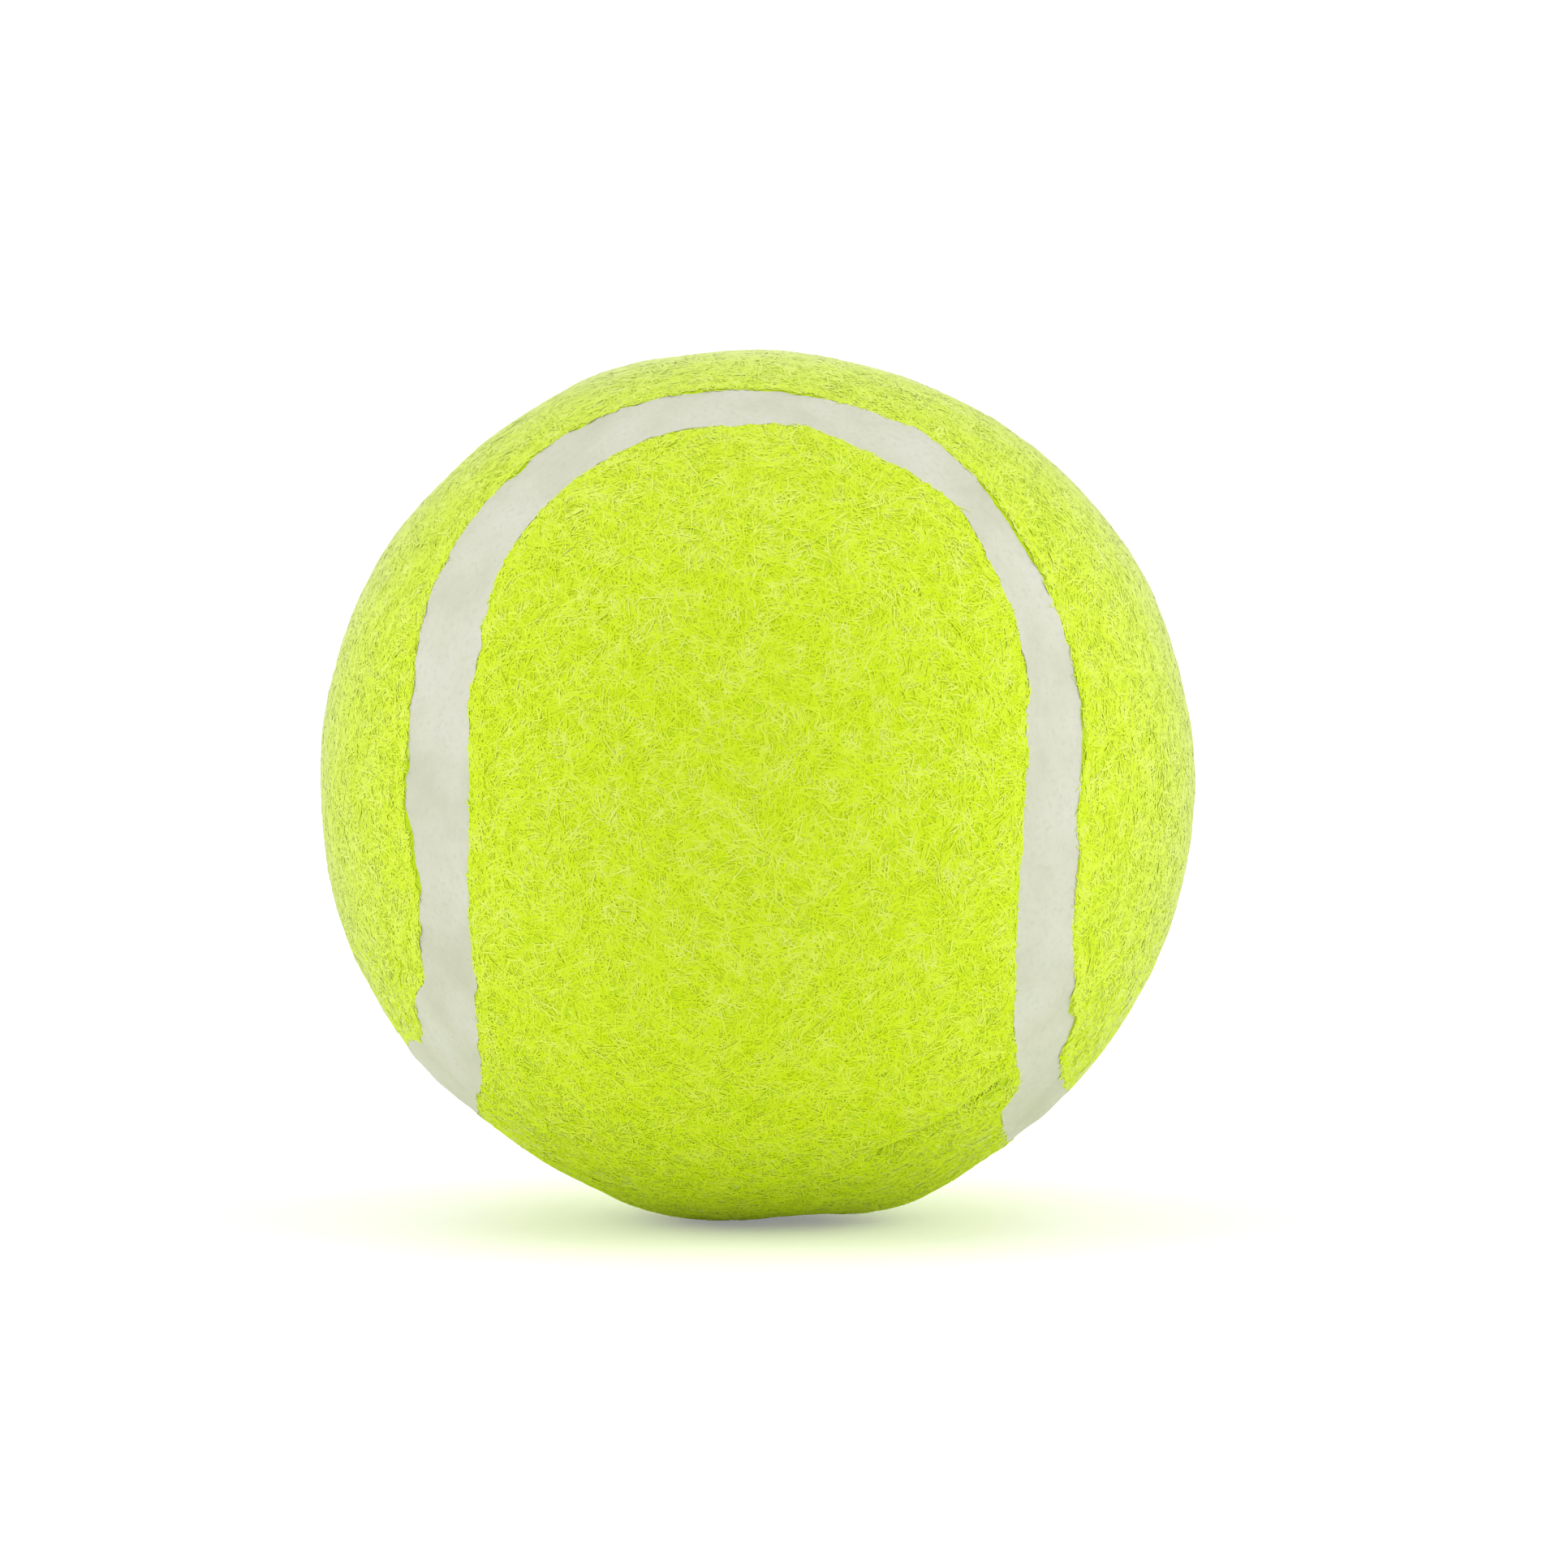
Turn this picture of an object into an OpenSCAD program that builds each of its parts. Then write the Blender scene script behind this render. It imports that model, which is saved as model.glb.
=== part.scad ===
// Felt-covered rubber ball for dogs: a hollow core of two cemented halves, two dog-bone felt panels laid on
// cement films, and one closed rubber seam that fills the gap between the panels.
// The origin is the centre of the ball. +Z is up and square to the core joint, and -Y faces the viewer.
// Sizes are in millimetres and angles in degrees.

/* [Ball] */
// Outside diameter over the felt
ball_d = 65; // [56:0.5:75]

/* [Rubber core] */
// Wall thickness of the moulded core halves
core_wall = 3.5; // [2.5:0.1:5]
// Thickness of the cement between the rims of the core halves
core_joint_t = 0.4; // [0.2:0.05:0.8]
// Radius of the cement bead squeezed out inside the core
core_bead_r = 0.9; // [0.6:0.1:2]

/* [Felt cover] */
// Thickness of the felt panels
felt_t = 2.8; // [2:0.1:4]
// Thickness of the cement film under the felt panels
film_t = 0.25; // [0.1:0.05:0.5]
// Clearance between the core and what is cemented on it
bond_gap = 0.05; // [0.02:0.01:0.2]
// Height of the panels' lobes for each unit of their width, which makes the waists narrower
lobe_ratio = 1.16; // [1:0.01:1.3]

/* [Seam] */
// Width of the seam between the felt edges
seam_w = 5.4; // [3:0.1:8]
// Depth of the seam's face below the felt
seam_drop = 0.2; // [0.1:0.1:1.2]

/* [Cover position] */
// Lean of the cover on the core about the side axis, negative with the front lobe raised
cover_lean = -15; // [-40:0.5:40]

/* [Hidden] */
$fn = 96;

ball_r = ball_d / 2;
// Inside of the felt, where it lies on its cement film
film_r = ball_r - felt_t;
// Inside of the whole cover, films and seam alike
cover_r = film_r - film_t;
core_r = cover_r - bond_gap;
cavity_r = core_r - core_wall;
seam_r = ball_r - seam_drop;
// Bottom of the channel for the seam, below the cover even where the lobes stretch it outwards
channel_floor_r = cavity_r / lobe_ratio;

// The seam is four half turns, each this far to the side of the axis of the lobe it goes round.
// At half a right angle they meet end to end with no corner.
lobe_angle = 45;
// Half-size of the blocks and the length of the cones that cut the ball, past its surface
reach = ball_d;

rubber_color = [0.33, 0.34, 0.35];
cement_color = [0.80, 0.74, 0.58];
felt_color = [0.80, 0.91, 0.22];
seam_color = [0.87, 0.88, 0.80];

// A hollow ball
module shell(inner_r, outer_r) {
    difference() {
        sphere(outer_r);
        sphere(inner_r);
    }
}

// Everything above a level
module above(level) {
    translate([-reach, -reach, level])
        cube([2 * reach, 2 * reach, reach]);
}

// Turns the upright axis to the front lobe's, then moves it on to one of the four lobes.
// Lobes 0 and 2 are the front and back ones above the middle, 1 and 3 the side ones below it.
module on_lobe(lobe) {
    rotate([0, 0, 90 * lobe])
        rotate([0, 180 * (lobe % 2), 0])
            rotate([90, 0, 0])
                children();
}

// Sweeps a section, drawn with X out of the ball, along the whole seam
module along_seam() {
    scale([1, 1, lobe_ratio])
        for (lobe = [0 : 3])
            on_lobe(lobe)
                rotate_extrude(angle = 180)
                    rotate(90 - lobe_angle)
                        children();
}

// All that lies within a lobe's half of the seam, seen from the centre of the ball
module lobe_cone(lobe) {
    scale([1, 1, lobe_ratio])
        on_lobe(lobe)
            cylinder(h = reach, r1 = 0, r2 = reach * tan(lobe_angle));
}

// What the seam takes out of the cover: a straight-sided channel
module channel_section() {
    translate([channel_floor_r, -seam_w / 2])
        square([reach - channel_floor_r, seam_w]);
}

// A hollow ball with its poles turned to the sides, clear of the panel that is cut from it
module panel_shell(inner_r, outer_r, pole_lean) {
    rotate([0, pole_lean - 90, 0])
        shell(inner_r, outer_r);
}

// One dog-bone of a hollow ball up to the middle of the seam: lobes at the front and back, waist underneath
module dog_bone(inner_r, outer_r, pole_lean) {
    intersection() {
        panel_shell(inner_r, outer_r, pole_lean);
        above(0);
        union() {
            lobe_cone(0);
            lobe_cone(2);
        }
    }
    difference() {
        panel_shell(inner_r, outer_r, pole_lean);
        above(0);
        lobe_cone(1);
        lobe_cone(3);
    }
}

// One dog-bone layer of the cover, cut back square to the sides of the seam
module cover_layer(inner_r, outer_r, pole_lean) {
    difference() {
        dog_bone(inner_r, outer_r, pole_lean);
        along_seam()
            channel_section();
    }
}

// Turns the cover to its place on the core
module cover_place() {
    rotate([cover_lean, 0, 0])
        children();
}

// Panel b is the same dog-bone as panel a, a quarter turn on and upside down, so that the two interlock
module panel_b_place() {
    rotate([0, 0, 90])
        rotate([0, 180, 0])
            children();
}

module core_half() {
    intersection() {
        shell(cavity_r, core_r);
        above(core_joint_t / 2);
    }
}

module core_half_lower() {
    color(rubber_color)
        rotate([180, 0, 0])
            core_half();
}

module core_half_upper() {
    color(rubber_color)
        core_half();
}

// Bonds the rims of the core halves, with a bead against the inside of the wall
module core_joint_cement() {
    color(cement_color)
        rotate_extrude() {
            intersection() {
                difference() {
                    circle(core_r);
                    circle(cavity_r);
                }
                translate([0, -core_joint_t / 2])
                    square([reach, core_joint_t]);
            }
            intersection() {
                circle(cavity_r);
                translate([cavity_r, 0])
                    circle(core_bead_r);
            }
        }
}

module panel_cement_a() {
    color(cement_color)
        cover_place()
            cover_layer(cover_r, film_r, 0);
}

module panel_cement_b() {
    color(cement_color)
        cover_place()
            panel_b_place()
                cover_layer(cover_r, film_r, cover_lean);
}

module felt_panel_a() {
    color(felt_color)
        cover_place()
            cover_layer(film_r, ball_r, 0);
}

module felt_panel_b() {
    color(felt_color)
        cover_place()
            panel_b_place()
                cover_layer(film_r, ball_r, cover_lean);
}

// Rubber that fills the channel from the core to just below the felt's face
module seam_cement() {
    color(seam_color)
        cover_place()
            intersection() {
                shell(cover_r, seam_r);
                along_seam()
                    channel_section();
            }
}

core_half_lower();
core_half_upper();
core_joint_cement();
panel_cement_a();
panel_cement_b();
felt_panel_a();
felt_panel_b();
seam_cement();
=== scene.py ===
import math

import bpy
import numpy as np
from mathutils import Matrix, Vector


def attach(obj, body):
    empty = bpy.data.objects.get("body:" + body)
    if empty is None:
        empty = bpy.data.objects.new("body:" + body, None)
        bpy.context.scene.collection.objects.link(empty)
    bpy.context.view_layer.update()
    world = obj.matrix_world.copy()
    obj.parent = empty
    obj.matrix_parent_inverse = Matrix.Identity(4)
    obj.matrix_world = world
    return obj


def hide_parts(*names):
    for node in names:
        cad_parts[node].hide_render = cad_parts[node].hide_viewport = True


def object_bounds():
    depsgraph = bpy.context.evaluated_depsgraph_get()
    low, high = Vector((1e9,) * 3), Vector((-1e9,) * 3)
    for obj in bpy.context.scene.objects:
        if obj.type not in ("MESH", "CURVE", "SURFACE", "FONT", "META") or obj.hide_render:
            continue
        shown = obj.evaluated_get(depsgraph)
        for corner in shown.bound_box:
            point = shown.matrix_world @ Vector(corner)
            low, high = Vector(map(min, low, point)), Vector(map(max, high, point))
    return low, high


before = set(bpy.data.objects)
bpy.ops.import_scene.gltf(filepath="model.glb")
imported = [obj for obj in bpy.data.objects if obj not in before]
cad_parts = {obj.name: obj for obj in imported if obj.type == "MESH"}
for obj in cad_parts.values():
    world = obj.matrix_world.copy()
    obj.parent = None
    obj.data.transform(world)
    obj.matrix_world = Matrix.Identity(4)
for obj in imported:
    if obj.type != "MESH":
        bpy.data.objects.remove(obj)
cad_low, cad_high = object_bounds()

# Sizes in metres, angles in radians. The shapes are made in the cover's own frame, which leans on the core.
MM = 0.001
BALL_R = (cad_high[0] - cad_low[0]) / 2
FELT_T = 2.8 * MM
FILM_T = 0.25 * MM
FILM_R = BALL_R - FELT_T
COVER_R = FILM_R - FILM_T
LOBE_RATIO = 1.16
LEAN = math.radians(-15)
BAKE_MAP = "OFBake"

# The photo's view: towards the camera, to the right and up
VIEW_AZIMUTH = math.radians(2.45)
VIEW_ELEVATION = math.radians(5)
VIEW_BACK = np.array([
    math.sin(VIEW_AZIMUTH) * math.cos(VIEW_ELEVATION),
    -math.cos(VIEW_AZIMUTH) * math.cos(VIEW_ELEVATION),
    math.sin(VIEW_ELEVATION),
])
VIEW_RIGHT = np.array([math.cos(VIEW_AZIMUTH), math.sin(VIEW_AZIMUTH), 0.0])
VIEW_UP = np.cross(VIEW_BACK, VIEW_RIGHT)

LEAN_TURN = np.array([
    [1, 0, 0],
    [0, math.cos(LEAN), -math.sin(LEAN)],
    [0, math.sin(LEAN), math.cos(LEAN)],
])


def to_row(points):
    """From the cover's frame to the row's."""
    return points @ LEAN_TURN.T


def unit(v):
    return v / np.linalg.norm(v, axis=-1, keepdims=True)


def bell(x):
    return np.exp(-0.5 * x**2)


WAVE_RANGE = (0.65, 1.35)  # smallest and largest wave numbers of a swell, for a mean of 1


def swell(seed, wavelength, count=48):
    """A smooth random field of unit variance, with waves of about this length."""
    rng = np.random.default_rng(seed)
    k = unit(rng.normal(size=(count, 3))) * (2 * math.pi / wavelength)
    k *= rng.uniform(*WAVE_RANGE, (count, 1))
    phase = rng.uniform(0, 2 * math.pi, count)
    return lambda p: np.cos(p @ k.T + phase).sum(1) * math.sqrt(2 / count)


# The seam's middle is four half turns, one round each lobe, stretched upright as in the CAD.
LOBE_STEPS = 220
STEPS = 4 * LOBE_STEPS
TURN_SAMPLES = 4000


def seam_middle(count):
    """Evenly spaced directions along the seam's middle, and the directions across it."""
    s = math.sqrt(0.5)
    f = np.arange(TURN_SAMPLES) / TURN_SAMPLES
    one = np.full_like(f, s)

    def turn(t):
        return s * np.cos(t), LOBE_RATIO * s * np.sin(t)

    fx, fz = turn(math.pi * (1 - f))
    rx, rz = turn(math.pi * f)
    path = unit(np.concatenate([
        np.stack([fx, -one, fz], 1),
        np.stack([one, -rx, -rz], 1),
        np.stack([-fx, one, fz], 1),
        np.stack([-one, rx, -rz], 1),
    ]))
    path = np.concatenate([path, path[:1]])
    along = np.concatenate([[0], np.cumsum(np.linalg.norm(np.diff(path, axis=0), axis=1))])
    at = np.arange(count) / count * along[-1]
    middle = unit(np.stack([np.interp(at, along, path[:, i]) for i in range(3)], 1))
    ahead = np.roll(middle, -1, 0) - np.roll(middle, 1, 0)
    ahead = unit(ahead - (ahead * middle).sum(1, keepdims=True) * middle)
    return middle, np.cross(ahead, middle)


MIDDLE, SIDE = seam_middle(STEPS)  # SIDE points to panel a

# Half widths of the hand-laid seam, in mm, by degrees of its whole run from the front lobe's left corner.
# They were read by eye to a quarter, at marks laid across the photo's seam, and compared with the render.
EDGE_A = [
    (-46, 0.75), (-40, 1), (-34, 2.25), (-28, 2.5), (-22, 3), (-16, 3), (-10, 3.75), (8, 3.75), (14, 2.75),
    (20, 2.25), (38, 2), (44, 2.5), (50, 1.75), (56, 2.5), (62, 1.75), (68, 1.25), (74, 2), (86, 2.25),
    (89, 2.75), (92, 2.5), (98, 3), (104, 3), (116, 2.5), (122, 2), (125, 1.5), (128, 3.25), (134, 3),
]
EDGE_B = [
    (-46, 6.5), (-40, 6), (-37, 4.5), (-34, 3.75), (-31, 4.5), (-28, 3.75), (-25, 2.5), (-22, 2.75),
    (-16, 2), (-10, 2.75), (-7, 3.25), (2, 2.5), (8, 3.25), (14, 4), (32, 4), (38, 3.25), (44, 2.75),
    (56, 3), (59, 3.75), (62, 3.25), (68, 2.75), (80, 2.25), (86, 2.75), (92, 3.25), (98, 2.25), (101, 3),
    (110, 2.5), (115, 3.5), (119, 3), (121, 4), (125, 2.25), (134, 2.5),
]
# The back isn't in the photo: it wanders at random about a mean, in mm, from point to point.
BACK_POINTS = range(147, 304, 8)
BACK_MEAN = 2.75
BACK_SPREAD = 0.3
EDGE_RIPPLES = [(2.4, 0.07), (0.9, 0.045)]  # wavelength and height in mm
BLUR_REACH = 6  # steps
BLUR_WIDTH = 1.3


def half_width(front, seed):
    """The seam's half width towards one panel, at each step of its run."""
    rng = np.random.default_rng(seed)
    back = [(d, BACK_MEAN + rng.normal(0, BACK_SPREAD)) for d in BACK_POINTS]
    at, mm = np.array(front + back).T
    run = np.interp(np.arange(STEPS) / STEPS * 360, at, mm, period=360)
    blur = bell(np.arange(-BLUR_REACH, BLUR_REACH + 1) / BLUR_WIDTH)
    round_run = np.concatenate([run[-BLUR_REACH:], run, run[:BLUR_REACH]])
    run = np.convolve(round_run, blur / blur.sum(), "valid")
    for i, (wavelength, height) in enumerate(EDGE_RIPPLES, 1):
        run = run + height * swell(seed + i, wavelength * MM)(MIDDLE * BALL_R)
    return run * MM


SEED_A, SEED_B = 11, 21
HALF_A, HALF_B = half_width(EDGE_A, SEED_A), half_width(EDGE_B, SEED_B)

# The felt's rounded lip goes on under the seam's face, so its cut edge is nearer the middle than what shows.
LIP = 0.7 * MM
LIP_IN = 0.4 * MM
CUT_A, CUT_B = HALF_A - LIP_IN, HALF_B - LIP_IN


def beside(offset):
    """Directions at these distances from the seam's middle, towards panel a where positive."""
    a = offset / BALL_R
    return MIDDLE * np.cos(a)[:, None] + SIDE * np.sin(a)[:, None]


# Low places and lumps round the ball's outline: angle from the right, width in degrees, height in mm
OUTLINE = [
    (0, 12, 0.1), (30, 9, 0.1), (62, 5, 0.1), (74, 14, -0.38), (98, 5, -0.15), (111, 6, 0.18),
    (135, 4, -0.22), (150, 9, 0.18), (195, 8, 0.08), (233, 9, -0.36), (256, 5, 0.17), (275, 5, -0.42),
    (289, 6, 0.55), (303, 6, 0.12), (325, 8, -0.12),
]
SEAM_OUTLINE = OUTLINE + [(312, 5, 0.3), (223, 6, 0.35)]
LUMPS = [(18.0, 0.04), (9.0, 0.03), (3.6, 0.015), (1.7, 0.008)]  # wavelength and height in mm
LUMP_SEED = 31
lumps = [(swell(LUMP_SEED + i, w * MM), h * MM) for i, (w, h) in enumerate(LUMPS)]


def round_outline(row, places):
    """Height of the outline's low places and lumps at these directions in the row's frame."""
    high = 0
    for angle, width, mm in places:
        t = math.radians(angle)
        centre = math.cos(t) * VIEW_RIGHT + math.sin(t) * VIEW_UP
        away = np.degrees(np.arccos(np.clip(row @ centre, -1, 1)))
        high = high + mm * MM * bell(away / width)
    return high


def seen_at(x, y):
    """The row direction seen at this place of the front, in ball radii right of and above its centre."""
    return x * VIEW_RIGHT + y * VIEW_UP + math.sqrt(1 - x * x - y * y) * VIEW_BACK


# A soft fold low on the right of the front
FOLD_ENDS = seen_at(0.56, -0.68), seen_at(0.28, -0.84)
FOLD_DEPTH = 0.4 * MM
FOLD_WIDTH = 0.45 * MM


def from_fold(row):
    """Distance from the fold."""
    a, b = FOLD_ENDS
    t = np.clip(((row - a) @ (b - a)) / ((b - a) @ (b - a)), 0, 1)
    return np.linalg.norm(row - (a + t[:, None] * (b - a)), axis=1) * BALL_R


def felt_height(p):
    """How far the felt's face stands above the mean ball, for directions in the cover's frame."""
    row = to_row(p)
    high = sum(f(p * BALL_R) * h for f, h in lumps) + round_outline(row, OUTLINE)
    return high - FOLD_DEPTH * bell(from_fold(row) / FOLD_WIDTH)


def lip_drop(d):
    """How far the lip's round falls below the felt's face, at this distance from its cut edge."""
    d = np.clip(d, 0, LIP)
    return LIP - np.sqrt(LIP**2 - (LIP - d) ** 2)


def mesh_of(name, points, faces, uv, material):
    """A smooth mesh object of triangles, with uv per corner."""
    me = bpy.data.meshes.new(name)
    me.vertices.add(len(points))
    me.vertices.foreach_set("co", np.ascontiguousarray(points, np.float32).ravel())
    me.loops.add(faces.size)
    me.loops.foreach_set("vertex_index", np.ascontiguousarray(faces, np.int32).ravel())
    me.polygons.add(len(faces))
    me.polygons.foreach_set("loop_start", np.arange(0, faces.size, 3, dtype=np.int32))
    me.polygons.foreach_set("use_smooth", np.ones(len(faces), bool))
    me.update(calc_edges=True)
    layer = me.uv_layers.new(name=BAKE_MAP)
    layer.uv.foreach_set("vector", np.ascontiguousarray(uv, np.float32).ravel())
    me.materials.append(material)
    me.validate()
    ob = bpy.data.objects.new(name, me)
    bpy.context.scene.collection.objects.link(ob)
    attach(ob, "root")
    return ob


def outward(points, faces, uv):
    """The same faces, turned over if they look inwards."""
    a, b, c = (points[faces[:, i]] for i in range(3))
    if (np.cross(a, b) * c).sum() < 0:
        return faces[:, ::-1], uv[:, ::-1]
    return faces, uv


def quads(a, b, c, d):
    """Two triangles for each four corners."""
    return np.concatenate([np.stack([a, b, c], 1), np.stack([a, c, d], 1)])


def quad_uvs(u0, u1, v0, v1):
    """The places of those triangles' corners in the map."""
    return quads(*(np.stack(corner, 1) for corner in ((u0, v0), (u1, v0), (u1, v1), (u0, v1))))


# Felt panels: rings from the cut edge in to a spine, closed underneath
NAP = 0.16 * MM  # the felt's ground lies this far below the mean height of its nap
GROUND_R = BALL_R - NAP
FELT_CLEAR = 0.03 * MM  # between the felt and the cement film
UNDER_R = FILM_R + FELT_CLEAR
UNDER_INSET = 0.3 * MM  # the underside's edge is this far inside the cut edge
EDGE_WAIST = 1.6 * MM  # depth of the row halfway down the cut edge
NEAR_EDGE = np.array([0, 0.07, 0.16, 0.3, 0.48, 0.7, 1.0, 1.35, 1.75, 2.2]) * MM
INNER_ROWS = 50
UNDER_ROWS = (0.25, 0.5, 0.75)
# A panel's map holds each half of its run in a band, and each half of the underside in a narrow one.
NEAR_SHARE = 0.30  # part of a band's height for the rows near the edge
TOP_BANDS, TOP_TALL = (0.01, 0.45), 0.42
LOW_BANDS, LOW_TALL = (0.89, 0.95), 0.045


def spine_of(first):
    """Which spine point each step of the edge leads to. Lobe first and the one opposite are fans."""
    n = LOBE_STEPS
    i = (np.arange(STEPS) - first * n) % STEPS
    lobe, j = i // n, i % n
    return np.select([lobe == 0, lobe == 1, lobe == 2], [0 * j, j, n + 0 * j], n - j)


def felt_panel(name, edge, under_edge, first, spine, material):
    ends = spine_of(first)
    goal = spine[ends]

    def angle_to_spine(start):
        return np.arccos(np.clip((start * goal).sum(1), -1, 1))

    def toward(start, angle, d):
        """Directions this far from the start, on the way to the spine."""
        t = d / BALL_R / angle
        near, far = np.sin((1 - t) * angle), np.sin(t * angle)
        return (near[:, None] * start + far[:, None] * goal) / np.sin(angle)[:, None]

    angle, under_angle = angle_to_spine(edge), angle_to_spine(under_edge)
    rings, depth = [], []
    for d in NEAR_EDGE:
        p = toward(edge, angle, d)
        rings.append(p * (GROUND_R + felt_height(p) - lip_drop(d))[:, None])
        depth.append(NEAR_SHARE * d / NEAR_EDGE[-1])
    for r in range(1, INNER_ROWS):
        t = r / INNER_ROWS
        p = toward(edge, angle, NEAR_EDGE[-1] + t * (angle * BALL_R - NEAR_EDGE[-1]))
        rings.append(p * (GROUND_R + felt_height(p))[:, None])
        depth.append(NEAR_SHARE + (1 - NEAR_SHARE) * t)
    depth.append(1.0)
    top_rows = len(rings)
    rings.append(unit(edge + under_edge) * (BALL_R - EDGE_WAIST))
    rings.append(under_edge * UNDER_R)
    for t in UNDER_ROWS:
        rings.append(toward(under_edge, under_angle, t * under_angle * BALL_R) * UNDER_R)
    points = np.concatenate([*rings, spine * (GROUND_R + felt_height(spine))[:, None], spine * UNDER_R])

    i = np.arange(STEPS)
    j = (i + 1) % STEPS
    half = STEPS // 2
    u0, u1 = (i % half) / half, (i % half + 1) / half
    faces, uvs = [], []

    def strip(lower, upper, v0, v1, bands, tall):
        band = np.where(i < half, *bands)
        f = quads(lower[i], lower[j], upper[j], upper[i])
        t = quad_uvs(u0, u1, band + tall * v0, band + tall * v1)
        real = (f[:, 0] != f[:, 1]) & (f[:, 1] != f[:, 2]) & (f[:, 0] != f[:, 2])
        faces.append(f[real])
        uvs.append(t[real])

    ring = [np.arange(STEPS) + r * STEPS for r in range(len(rings))]
    spine_top = len(rings) * STEPS + ends
    spine_low = spine_top + len(spine)
    top = [*ring[:top_rows], spine_top]
    for r in range(top_rows):
        strip(top[r], top[r + 1], depth[r], depth[r + 1], TOP_BANDS, TOP_TALL)
    low = [ring[0], *ring[top_rows:], spine_low]
    last = len(low) - 1
    for r in range(last):
        strip(low[r + 1], low[r], 1 - (r + 1) / last, 1 - r / last, LOW_BANDS, LOW_TALL)
    f, t = outward(points, np.concatenate(faces), np.concatenate(uvs))
    return mesh_of(name, to_row(points), f, t, material)


# Nodes of the materials
def new_material(name):
    mat = bpy.data.materials.new(name)
    mat.use_nodes = True
    return mat, mat.node_tree, mat.node_tree.nodes["Principled BSDF"]


def feed(tree, sockets, values):
    """Gives sockets other nodes' outputs or constants."""
    for socket, value in values.items():
        if isinstance(value, bpy.types.NodeSocket):
            tree.links.new(value, sockets[socket])
        else:
            sockets[socket].default_value = value


def node(tree, kind, inputs=None, **values):
    n = tree.nodes.new(kind)
    for k, v in values.items():
        setattr(n, k, v)
    feed(tree, n.inputs, inputs or {})
    return n


def maths(tree, operation, *values, kind="ShaderNodeMath"):
    return node(tree, kind, dict(enumerate(values)), operation=operation).outputs[0]


def ramp(tree, fac, stops):
    n = node(tree, "ShaderNodeValToRGB", {"Fac": fac})
    el = n.color_ramp.elements
    while len(el) < len(stops):
        el.new(0.5)
    for e, (at, colour) in zip(el, stops):
        e.position = at
        e.color = (*colour, 1)
    return n.outputs["Color"]


def mix(tree, fac, below, colour, blend="MIX"):
    """Lays a plain colour over another node's colour."""
    n = node(tree, "ShaderNodeMix", data_type="RGBA", blend_type=blend)
    feed(tree, n.inputs, {"Factor": fac, 6: below, 7: (*colour, 1)})
    return n.outputs[2]


def noise(tree, at, scale, detail, rough, distortion=0.0):
    n = node(tree, "ShaderNodeTexNoise", {
        "Vector": at, "Scale": scale, "Detail": detail, "Roughness": rough, "Distortion": distortion,
    })
    return n.outputs["Fac"]


def spread(tree, value, span, to):
    """Maps a span of values to another one."""
    n = node(tree, "ShaderNodeMapRange", {
        "Value": value, "From Min": span[0], "From Max": span[1], "To Min": to[0], "To Max": to[1],
    })
    return n.outputs["Result"]


def place(tree):
    return node(tree, "ShaderNodeTexCoord").outputs["Object"]


def bump(tree, height, strength, distance):
    n = node(tree, "ShaderNodeBump", {"Height": height, "Strength": strength, "Distance": distance})
    return n.outputs["Normal"]


SHEEN_ROUGH = 0.4


def felt_ground_material():
    """Matted fibres under the laid ones: deeper yellow-green, in part a painted shade of the gaps between
    fibres, with combed streaks.
    """
    mat, tree, shader = new_material("felt_ground")
    at = place(tree)
    clumps = noise(tree, at, scale=420, detail=4, rough=0.6)
    fibres = noise(tree, at, scale=2600, detail=3, rough=0.6, distortion=1.4)
    # These colours are darker than the fibres' own, in part as painted shade between the laid fibres.
    deep, middling, pale = (0.45, 0.70, 0.002), (0.57, 0.83, 0.005), (0.66, 0.89, 0.014)
    colour = ramp(tree, clumps, [(0.30, deep), (0.52, middling), (0.72, pale)])
    streak = (0.70, 0.91, 0.03)
    feed(tree, shader.inputs, {
        "Base Color": mix(tree, spread(tree, fibres, (0.35, 0.7), (0.0, 0.4)), colour, streak),
        "Roughness": spread(tree, fibres, (0.3, 0.7), (0.88, 1.0)),
        "Normal": bump(tree, fibres, strength=0.5, distance=0.05 * MM),
        "Specular IOR Level": 0.1,
        "Sheen Weight": 1.0,
        "Sheen Roughness": SHEEN_ROUGH,
        "Sheen Tint": (1.0, 1.0, 0.75, 1),
    })
    return mat


NAP_CELLS = 126  # each strand has its own cell of the map
PRESSED_AND_SHADED_FROM = -0.25  # the nap is pressed, and its painted shade begins, below this height, in ball radii
SHADE_DEEPEST = -0.95  # the painted shade underneath is deepest here


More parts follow.
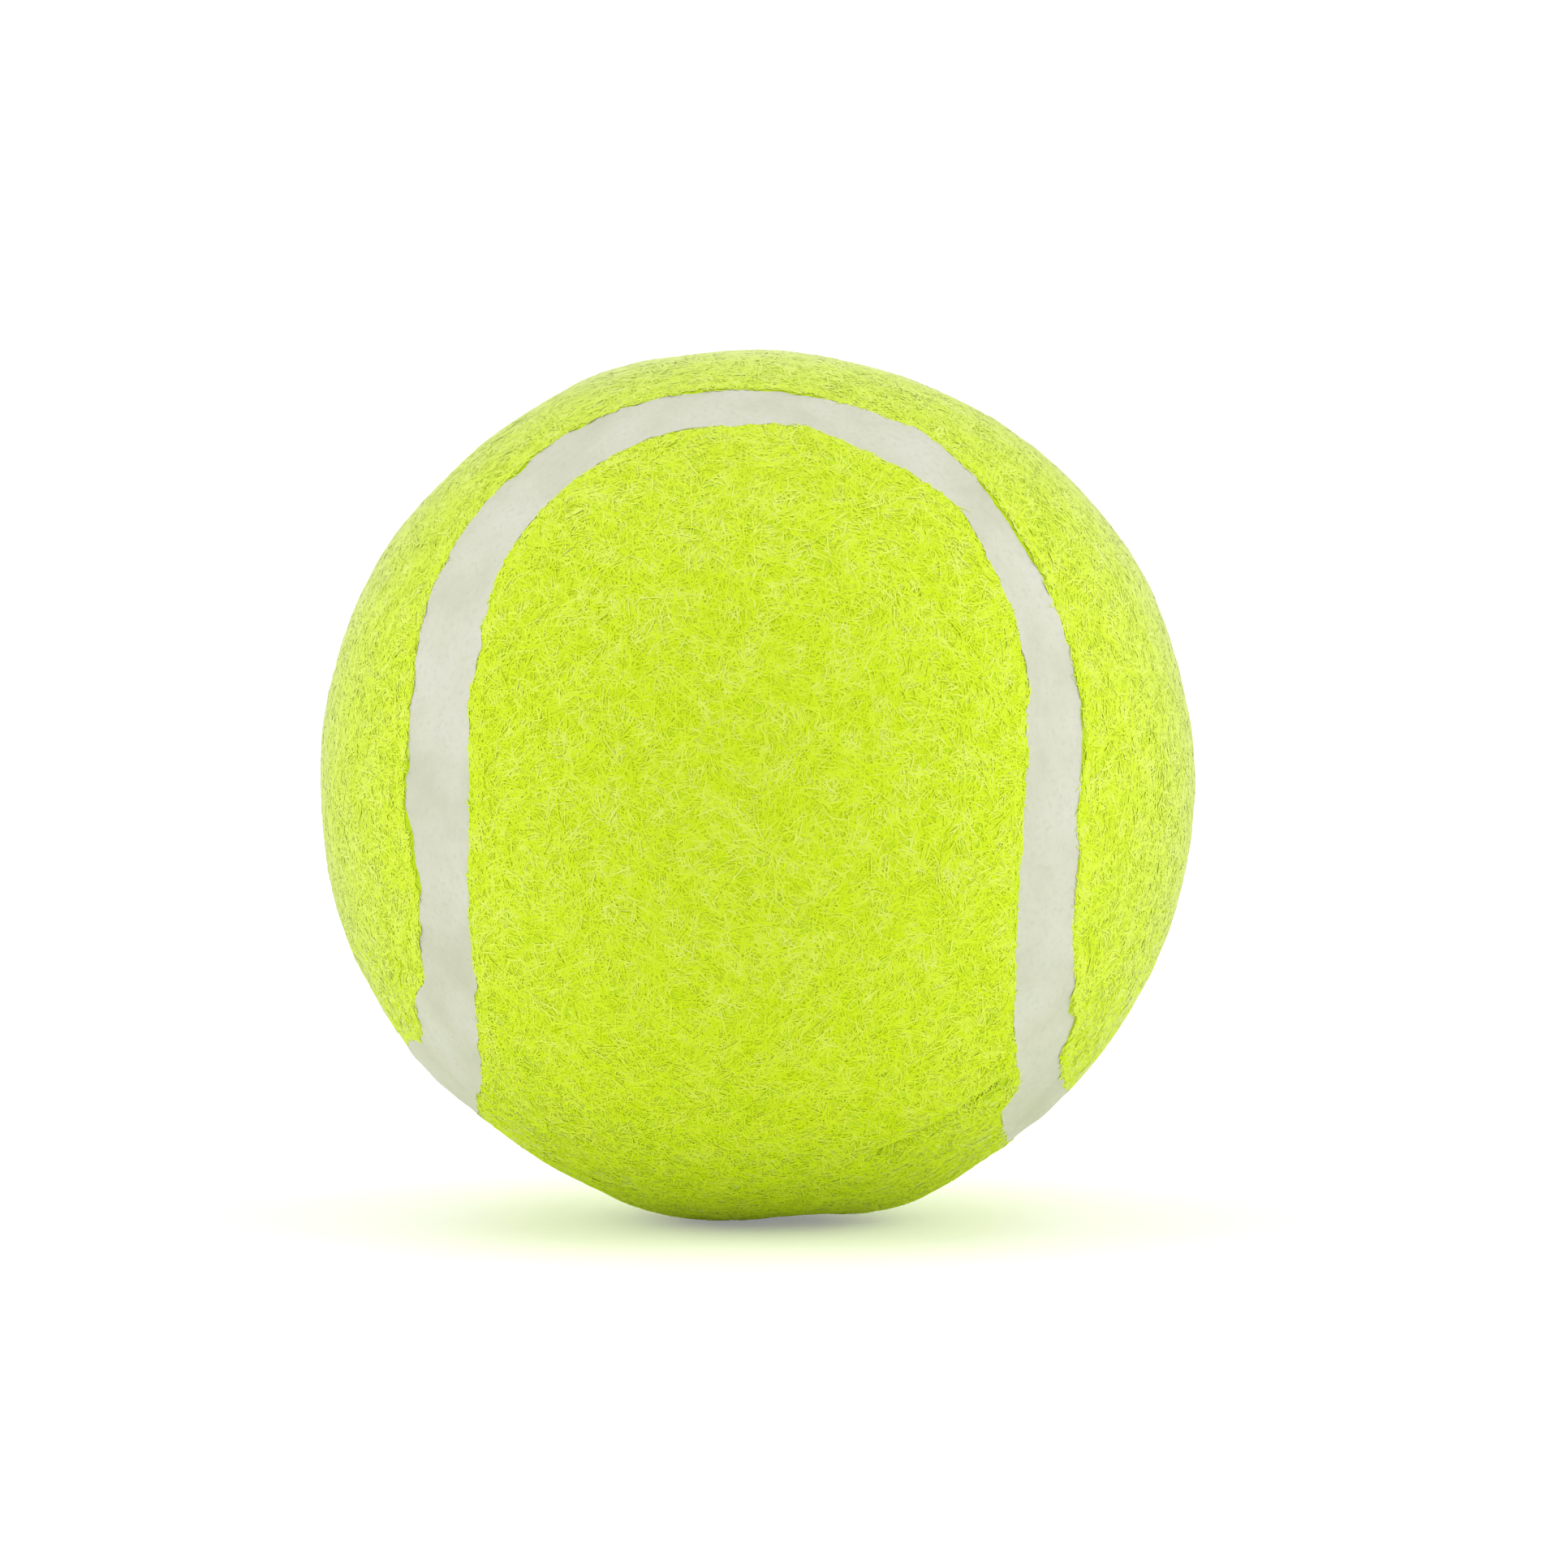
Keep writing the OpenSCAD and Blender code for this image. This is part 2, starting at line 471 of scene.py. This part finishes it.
def nap_material(name, sheen):
    """Single fibres: each has its own shade, paler towards its ends, and patches of the cover differ; a
    painted shade deepens the colour underneath.
    """
    mat, tree, shader = new_material(name)
    uv = node(tree, "ShaderNodeUVMap", uv_map=BAKE_MAP).outputs["UV"]
    cells = maths(tree, "MULTIPLY", uv, (NAP_CELLS,) * 3, kind="ShaderNodeVectorMath")
    cell = maths(tree, "FLOOR", cells, kind="ShaderNodeVectorMath")
    within = maths(tree, "FRACTION", cells, kind="ShaderNodeVectorMath")
    along = node(tree, "ShaderNodeSeparateXYZ", {0: within}).outputs["X"]
    own = node(tree, "ShaderNodeTexWhiteNoise", {"Vector": cell}, noise_dimensions="2D").outputs["Value"]
    at = place(tree)
    patch = spread(tree, noise(tree, at, scale=600, detail=3, rough=0.6), (0.2, 0.8), (0.1, 0.9))
    own_share = 0.65
    shade = spread(tree, maths(tree, "MULTIPLY_ADD", own, own_share, patch), (0.2, 1.25), (0.0, 1.0))
    deep, strong = (0.65, 0.89, 0.005), (0.71, 0.935, 0.012)
    bright, pale = (0.75, 0.96, 0.036), (0.82, 0.98, 0.15)
    colour = ramp(tree, shade, [(0.0, deep), (0.35, strong), (0.65, bright), (1.0, pale)])
    from_middle = maths(tree, "ABSOLUTE", maths(tree, "SUBTRACT", along, 0.5))
    tips = (0.78, 0.95, 0.10)
    colour = mix(tree, spread(tree, from_middle, (0.1, 0.38), (0.0, 0.2)), colour, tips)
    # Painted shade: the nap is deeper in colour and less blue underneath, where less light falls and its
    # pale sheen is missing.
    high = node(tree, "ShaderNodeSeparateXYZ", {0: at}).outputs["Z"]
    painted_underside_shade = spread(tree, high, (SHADE_DEEPEST * BALL_R, PRESSED_AND_SHADED_FROM * BALL_R), (0.8, 0.0))
    underside_shade_tint = (1.0, 1.0, 0.2)
    feed(tree, shader.inputs, {
        "Base Color": mix(tree, painted_underside_shade, colour, underside_shade_tint, "MULTIPLY"),
        "Roughness": spread(tree, own, (0.0, 1.0), (0.75, 0.95)),
        "Specular IOR Level": 0.05,
        "Sheen Weight": sheen,
        "Sheen Roughness": SHEEN_ROUGH,
        "Sheen Tint": (1.0, 1.0, 0.92, 1),
    })
    return mat


def seam_material():
    """Off-white rubber cement: matte, faintly mottled, with a fine darker grain."""
    mat, tree, shader = new_material("seam_rubber_matte")
    at = place(tree)
    cloud = noise(tree, at, scale=160, detail=4, rough=0.6)
    grain = noise(tree, at, scale=2400, detail=2, rough=0.5)
    deep, middling, pale = (0.585, 0.60, 0.455), (0.66, 0.67, 0.54), (0.71, 0.715, 0.61)
    colour = ramp(tree, cloud, [(0.30, deep), (0.5, middling), (0.72, pale)])
    speck = (0.55, 0.57, 0.43)
    feed(tree, shader.inputs, {
        "Base Color": mix(tree, spread(tree, grain, (0.5, 0.75), (0.0, 0.45)), colour, speck),
        "Roughness": spread(tree, cloud, (0.3, 0.7), (0.55, 0.75)),
        "Normal": bump(tree, grain, strength=0.25, distance=0.06 * MM),
        "Specular IOR Level": 0.3,
    })
    return mat


def hidden_material(name, dark, light, scale, rough):
    """Core rubber or cement, clouded and slightly grainy."""
    mat, tree, shader = new_material(name)
    at = place(tree)
    finer = 9  # the grain's scale for each unit of the clouds'
    rough_spread = 0.1
    cloud = noise(tree, at, scale=scale, detail=5, rough=0.6)
    grain = noise(tree, at, scale=scale * finer, detail=2, rough=0.5)
    feed(tree, shader.inputs, {
        "Base Color": ramp(tree, cloud, [(0.3, dark), (0.7, light)]),
        "Roughness": spread(tree, grain, (0.3, 0.7), (rough - rough_spread, rough + rough_spread)),
        "Normal": bump(tree, grain, strength=0.3, distance=0.08 * MM),
    })
    return mat


felt_ground = felt_ground_material()
seam_rubber = seam_material()
nap_materials = {
    "felt_nap": nap_material("felt_nap", sheen=0.85),
    "felt_nap_pressed": nap_material("felt_nap_pressed", sheen=0.05),
}
core_rubber = hidden_material(
    "core_rubber_moulded", dark=(0.075, 0.08, 0.085), light=(0.11, 0.115, 0.12), scale=220, rough=0.7
)
cement = hidden_material(
    "cement_film", dark=(0.52, 0.43, 0.25), light=(0.66, 0.56, 0.35), scale=300, rough=0.6
)
for name, material in {
    "core_half_lower": core_rubber,
    "core_half_upper": core_rubber,
    "core_joint_cement": cement,
    "panel_cement_a": cement,
    "panel_cement_b": cement,
}.items():
    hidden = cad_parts[name]
    hidden.data.materials.clear()
    hidden.data.materials.append(material)

spine_turn = np.linspace(0, math.pi, LOBE_STEPS + 1)
spine_a = np.stack([0 * spine_turn, -np.cos(spine_turn), -np.sin(spine_turn)], 1)
spine_b = np.stack([-np.cos(spine_turn), 0 * spine_turn, np.sin(spine_turn)], 1)
cover_a = felt_panel(
    "felt_cover_a", beside(CUT_A), beside(CUT_A + UNDER_INSET),
    first=0, spine=spine_a, material=felt_ground,
)
cover_b = felt_panel(
    "felt_cover_b", beside(-CUT_B), beside(-CUT_B - UNDER_INSET),
    first=3, spine=spine_b, material=felt_ground,
)

# Seam: one closed run of rubber, its face between the felt lips and its foot in the channel
SEAM_DROP = 0.28 * MM  # its face lies this far below the felt's mean height
SEAM_R = BALL_R - SEAM_DROP
UNDER_LIP = 0.1 * MM  # its face goes on this far under the lips
FACE_ROWS = 17
FACE_SWELLS = [(61, 4.5, 0.035), (62, 1.5, 0.012)]  # seed, wavelength and height in mm
MENISCUS = 0.11 * MM  # rise of the face at its edges
FACE_SINK = 0.02 * MM  # and fall of the whole of it
FACE_EDGE_T = 0.06 * MM
WAIST_DEPTH = 0.95 * MM
LEDGE_TOP = 0.12 * MM  # the ledge where the seam narrows to its foot, above the film
LEDGE_FOOT = 0.06 * MM
CHANNEL_HALF = 2.5 * MM
FOOT_CLEAR = 0.05 * MM
MAP_TURNS = 8  # the run is laid out in bands
MAP_MARGIN = 0.02
SHARP_EDGE = math.radians(50)


def seam_strip(name, material):
    wide_a, wide_b = HALF_A + UNDER_LIP, HALF_B + UNDER_LIP
    foot_a, foot_b = (np.minimum(cut - FOOT_CLEAR, CHANNEL_HALF) for cut in (CUT_A, CUT_B))
    swells = [(swell(seed, wavelength * MM), high * MM) for seed, wavelength, high in FACE_SWELLS]
    section = []
    for w in np.linspace(1, -1, FACE_ROWS):
        p = beside((wide_a - wide_b) / 2 + w * (wide_a + wide_b) / 2)
        high = sum(h * f(p * BALL_R) for f, h in swells) + MENISCUS * w**4 - FACE_SINK
        section.append(p * (SEAM_R + high + round_outline(to_row(p), SEAM_OUTLINE))[:, None])
    radii = [
        SEAM_R - FACE_EDGE_T,
        BALL_R - WAIST_DEPTH,
        FILM_R + LEDGE_TOP,
        FILM_R + LEDGE_FOOT,
        COVER_R + FOOT_CLEAR,
    ]
    down = zip((-wide_b, -CUT_B, -CUT_B, -foot_b, -foot_b), radii)
    up = zip((foot_a, foot_a, CUT_A, CUT_A, wide_a), radii[::-1])
    for offset, radius in [*down, *up]:
        p = beside(offset)
        # Only the rows near the face follow the outline.
        high = round_outline(to_row(p), SEAM_OUTLINE) if radius > FILM_R + MM else np.zeros(STEPS)
        section.append(p * (radius + high)[:, None])
    rows = len(section)
    points = np.concatenate(section)
    i = np.arange(STEPS)
    j = (i + 1) % STEPS
    part = STEPS // MAP_TURNS
    u0, u1 = (i % part) / part, (i % part + 1) / part
    faces, uvs = [], []
    for r in range(rows):
        q = (r + 1) % rows
        faces.append(quads(r * STEPS + i, r * STEPS + j, q * STEPS + j, q * STEPS + i))
        v0, v1 = (
            (i // part + MAP_MARGIN + (1 - 2 * MAP_MARGIN) * k / rows) / MAP_TURNS for k in (r, r + 1)
        )
        uvs.append(quad_uvs(u0, u1, v0, v1))
    f, t = outward(points, np.concatenate(faces), np.concatenate(uvs))
    return mesh_of(name, to_row(points), f, t, material)


seam = seam_strip("seam_strip", seam_rubber)
seam.data.set_sharp_from_angle(angle=SHARP_EDGE)

# Nap: curved fibres that lie on the felt, each closed and pointed at both ends
SIGMA = np.array([-1, -0.36, 0.36, 1])  # places of the tips and the two rings along a fibre
RING = np.array([[0.0, 0.4], [1.0, -0.15], [-1.0, -0.15]])  # a ring's corners, in half widths
STRAND_POINTS = 8  # two tips and two rings
SWIRL = 9 * MM  # the fibres' common way turns over about this length
SWIRL_SEEDS = (71, 72)
swirl = [swell(seed, SWIRL) for seed in SWIRL_SEEDS]
WAY_SPREAD = 0.9  # a fibre's own turn from the common way
BEND_SPREAD = 0.5
HALF_THICK = (0.04, 0.068)  # in mm
LIFT = 0.02  # mean and spread of a fibre's arch, in mm
LAYERS = 0.04  # the fibres lie over each other up to this height, in mm
SPILL = 0.18  # mean reach of the tips over the seam, in mm
RINGS_OVER = 0.06 * MM  # a fibre's rings pass the felt's edge by this at most
# Baring the fold shows the darker ground there, a painted shade in the crease.
FOLD_BARE = 0.8  # share of the fibres missing in the fold
FOLD_BARE_WIDTH = 0.35 * MM
LIP_FOLLOW = 0.5  # the fibres go this share of the way down the lip
ARCH_TOP = 1.13  # height of a fibre's middle, in lifts
TIP_DIP = 0.04 * MM
SIDE_TILT = 0.2  # turn of the shading at a fibre's sides
CHUNK = 20000  # directions looked up at a time


def near_seam(p):
    """Distance onto the felt from where its nearest edge shows, and whether that is panel a's."""
    d, on_a = np.empty(len(p)), np.empty(len(p), bool)
    middle = MIDDLE.astype(np.float32)
    for k in range(0, len(p), CHUNK):
        part = slice(k, k + CHUNK)
        q = p[part]
        i = (q.astype(np.float32) @ middle.T).argmax(1)
        side = np.arcsin(np.clip((q * SIDE[i]).sum(1), -1, 1)) * BALL_R
        d[part] = np.where(side > 0, side - HALF_A[i], -side - HALF_B[i])
        on_a[part] = side > 0
    return d, on_a


def strands(root, half, seed):
    """Paths, half widths and panels of the fibres with these middles and half lengths."""
    rng = np.random.default_rng(seed)
    count = len(root)
    some_axis = [0.31, 0.42, 0.85]
    east = unit(np.cross(root, some_axis))
    north = np.cross(root, east)
    turn = np.arctan2(swirl[0](root * BALL_R), swirl[1](root * BALL_R)) + rng.normal(0, WAY_SPREAD, count)
    way = np.cos(turn)[:, None] * east + np.sin(turn)[:, None] * north
    across = np.cross(root, way)
    bend = rng.normal(0, BEND_SPREAD, count)
    thick = rng.uniform(*HALF_THICK, count) * MM
    lift = np.abs(rng.normal(LIFT, LIFT, count)) * MM
    layer = rng.uniform(0, LAYERS, count) * MM
    half = half / BALL_R
    path = np.stack([
        unit(root + (t * half)[:, None] * way + (bend * half * t * t)[:, None] * across) for t in SIGMA
    ], 1)
    d, on_a = (x.reshape(count, len(SIGMA)) for x in near_seam(path.reshape(-1, 3)))
    spill = rng.exponential(SPILL, count) * MM
    keep = (d[:, 1:3].min(1) > -RINGS_OVER) & (d.min(1) > -spill) & (on_a == on_a[:, :1]).all(1)
    # The fold is left bare so that the darker ground shows in it as a painted shade.
    keep &= rng.random(count) > FOLD_BARE * bell(from_fold(to_row(root)) / FOLD_BARE_WIDTH)
    path, d, thick, lift, layer = path[keep], d[keep], thick[keep], lift[keep], layer[keep]
    high = felt_height(path.reshape(-1, 3)).reshape(d.shape)
    high = high - LIP_FOLLOW * lip_drop(np.maximum(d, 0) + LIP_IN)
    arch = layer[:, None] + lift[:, None] * (ARCH_TOP - SIGMA**2) - TIP_DIP * np.abs(SIGMA) ** 3
    return path * (GROUND_R + high + arch)[..., None], thick, on_a[keep][:, 0]


def strand_faces():
    """The triangles of one strand, and the places of their corners in its cell of the map."""
    lanes = (0.2, 0.5, 0.8)
    start, near, far, end = 0.12, 0.37, 0.63, 0.88
    faces, spots = [], []
    for k in range(3):
        m = (k + 1) % 3
        ids = [0, 1 + k, 1 + m, 4 + k, 4 + m, 7]
        lane, next_lane = lanes[k], lanes[m]
        at = [(start, lane), (near, lane), (near, next_lane), (far, lane), (far, next_lane), (end, lane)]
        for triangle in ((0, 2, 1), (1, 2, 4), (1, 4, 3), (3, 4, 5)):
            faces.append([ids[x] for x in triangle])
            spots.append([at[x] for x in triangle])
    return np.array(faces), np.array(spots)


def nap_mesh(name, path, thick, material):
    n = len(path)
    up = unit(path)
    across = unit(np.cross(np.gradient(path, axis=1), up))
    # The sides are shaded almost as the felt's face is, as light passes through such thin fibres.
    points, normals = [path[:, :1]], [up[:, :1]]
    for r in (1, 2):
        side, top = across[:, r, None], up[:, r, None]
        points.append(path[:, r, None] + (RING[:, :1] * side + RING[:, 1:] * top) * thick[:, None, None])
        normals.append(unit(top + SIDE_TILT * RING[:, :1] * side))
    points = np.concatenate([*points, path[:, 3:]], 1)
    normals = np.concatenate([*normals, up[:, 3:]], 1)
    one, spots = strand_faces()
    faces = (one[None] + (np.arange(n) * STRAND_POINTS)[:, None, None]).reshape(-1, 3)
    cell = np.stack([np.arange(n) % NAP_CELLS, np.arange(n) // NAP_CELLS], 1)
    uv = ((spots[None] + cell[:, None, None]) / NAP_CELLS).reshape(-1, 3, 2)
    ob = mesh_of(name, to_row(points.reshape(-1, 3)), faces, uv, material)
    ob.data.normals_split_custom_set_from_vertices(to_row(normals.reshape(-1, 3)).tolist())
    return ob


NAP_SEED = 80
INNER_COUNT = 165000
INNER_HALF = (0.6, 1.8)  # half lengths in mm
EDGE_COUNT = 26000
EDGE_HALF = (0.22, 0.6)
EDGE_BAND = 1.1  # the edges' own fibres start within this of the edge, in mm
EDGE_SCATTER = 0.005  # in ball radii
PRESSED_OVER = 0.65  # all are pressed this far below where the pressing begins, in ball radii


def edge_roots(rng, count):
    i, on_a = rng.integers(0, STEPS, count), rng.random(count) < 0.5
    d = rng.uniform(0, EDGE_BAND, count) * MM
    a = np.where(on_a, HALF_A[i] + d, -HALF_B[i] - d) / BALL_R
    p = MIDDLE[i] * np.cos(a)[:, None] + SIDE[i] * np.sin(a)[:, None]
    return unit(p + rng.normal(0, EDGE_SCATTER, (count, 3)))


rng = np.random.default_rng(NAP_SEED)
inner = unit(rng.normal(size=(INNER_COUNT, 3)))
edges = edge_roots(rng, EDGE_COUNT)
laid = [
    strands(inner, rng.uniform(*INNER_HALF, INNER_COUNT) * MM, NAP_SEED + 1),
    strands(edges, rng.uniform(*EDGE_HALF, EDGE_COUNT) * MM, NAP_SEED + 2),
]
paths, thicks, of_a = (np.concatenate(x) for x in zip(*laid))
shuffled = rng.permutation(len(paths))
paths, thicks, of_a = paths[shuffled], thicks[shuffled], of_a[shuffled]
# Underneath, where the ball lies and rolls, more and more of the fibres are pressed and have less sheen.
height = to_row(paths[:, 1])[:, 2] / BALL_R
pressed = rng.random(len(paths)) < np.clip((PRESSED_AND_SHADED_FROM - height) / PRESSED_OVER, 0, 1)
naps = {"a": [], "b": []}
for letter, mine in (("a", of_a), ("b", ~of_a)):
    for kind, those in (("felt_nap", mine & ~pressed), ("felt_nap_pressed", mine & pressed)):
        which = np.flatnonzero(those)
        pieces = math.ceil(len(which) / NAP_CELLS**2)
        for k, part in enumerate(np.array_split(which, pieces), 1):
            piece = nap_mesh(f"{kind}_{letter}_{k}", paths[part], thicks[part], nap_materials[kind])
            naps[letter].append(piece)

# The CAD's felt panels and seam cement are hidden, as the made pieces stand in their place.
for cover, letter in ((cover_a, "a"), (cover_b, "b")):
    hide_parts(f"felt_panel_{letter}")
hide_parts("seam_cement")

# Floor, light and camera
FLOOR_SIZE = 24
FLOOR_GLOW = 0.25  # keeps the floor white to the camera
SOFT_LIGHT = 0.49
WHITE = (1, 1, 1, 1)


def seen_directly(tree):
    """1 for camera, glossy and transmission rays, and 0 for the others."""
    rays = node(tree, "ShaderNodeLightPath").outputs
    first = maths(tree, "MAXIMUM", rays["Is Camera Ray"], rays["Is Glossy Ray"])
    return maths(tree, "MAXIMUM", first, rays["Is Transmission Ray"])


bpy.ops.mesh.primitive_plane_add(size=FLOOR_SIZE, location=(0, 0, -BALL_R))
floor = bpy.context.object
floor.name = "floor"
floor_white, tree, shader = new_material("floor_white")
feed(tree, shader.inputs, {
    "Base Color": (0.94, 0.94, 0.94, 1),
    "Roughness": 0.9,
    "Specular IOR Level": 0.1,
    "Emission Color": WHITE,
    "Emission Strength": spread(tree, seen_directly(tree), (0, 1), (0, FLOOR_GLOW)),
})
floor.data.materials.append(floor_white)

scene = bpy.context.scene
scene.view_settings.view_transform = "Standard"
world = bpy.data.worlds.new("studio")
scene.world = world
world.use_nodes = True
tree = world.node_tree
tree.nodes.clear()
soft = node(tree, "ShaderNodeBackground", {"Color": WHITE, "Strength": SOFT_LIGHT})
white = node(tree, "ShaderNodeBackground", {"Color": WHITE, "Strength": 1.0})
both = node(tree, "ShaderNodeMixShader", {0: seen_directly(tree), 1: soft.outputs[0], 2: white.outputs[0]})
node(tree, "ShaderNodeOutputWorld", {"Surface": both.outputs[0]})

# Where each sun stands, and its strength
SUNS = {
    "right": ((0.95, -0.1, 0.25), 1.54),
    "left": ((-0.95, -0.1, 0.25), 1.38),
    "front": ((0.0, -1.0, 0.03), 0.37),
    "back": ((0.0, 1.0, 0.3), 0.5),
    "top": ((0.0, 0.0, 1.0), 0.72),
}
SUN_ANGLE = math.radians(60)
for name, (toward, strength) in SUNS.items():
    light = bpy.data.lights.new(name, "SUN")
    light.energy = strength
    light.angle = SUN_ANGLE
    sun = bpy.data.objects.new(name, light)
    scene.collection.objects.link(sun)
    sun.rotation_mode = "QUATERNION"
    sun.rotation_quaternion = Vector(toward).to_track_quat("Z", "Y")

CAMERA_AWAY = 60 * BALL_R
CAMERA_SHIFT = 2.03 * MM  # the ball stands this far left of the picture's middle
lens = bpy.data.cameras.new("camera")
lens.sensor_width = 36
lens.lens = 603.2
lens.clip_end = 60
camera = bpy.data.objects.new("camera", lens)
scene.collection.objects.link(camera)
back = Vector(VIEW_BACK)
camera.location = back * CAMERA_AWAY + Vector(VIEW_RIGHT) * CAMERA_SHIFT
camera.rotation_mode = "QUATERNION"
camera.rotation_quaternion = (-back).to_track_quat("-Z", "Y")
scene.camera = camera
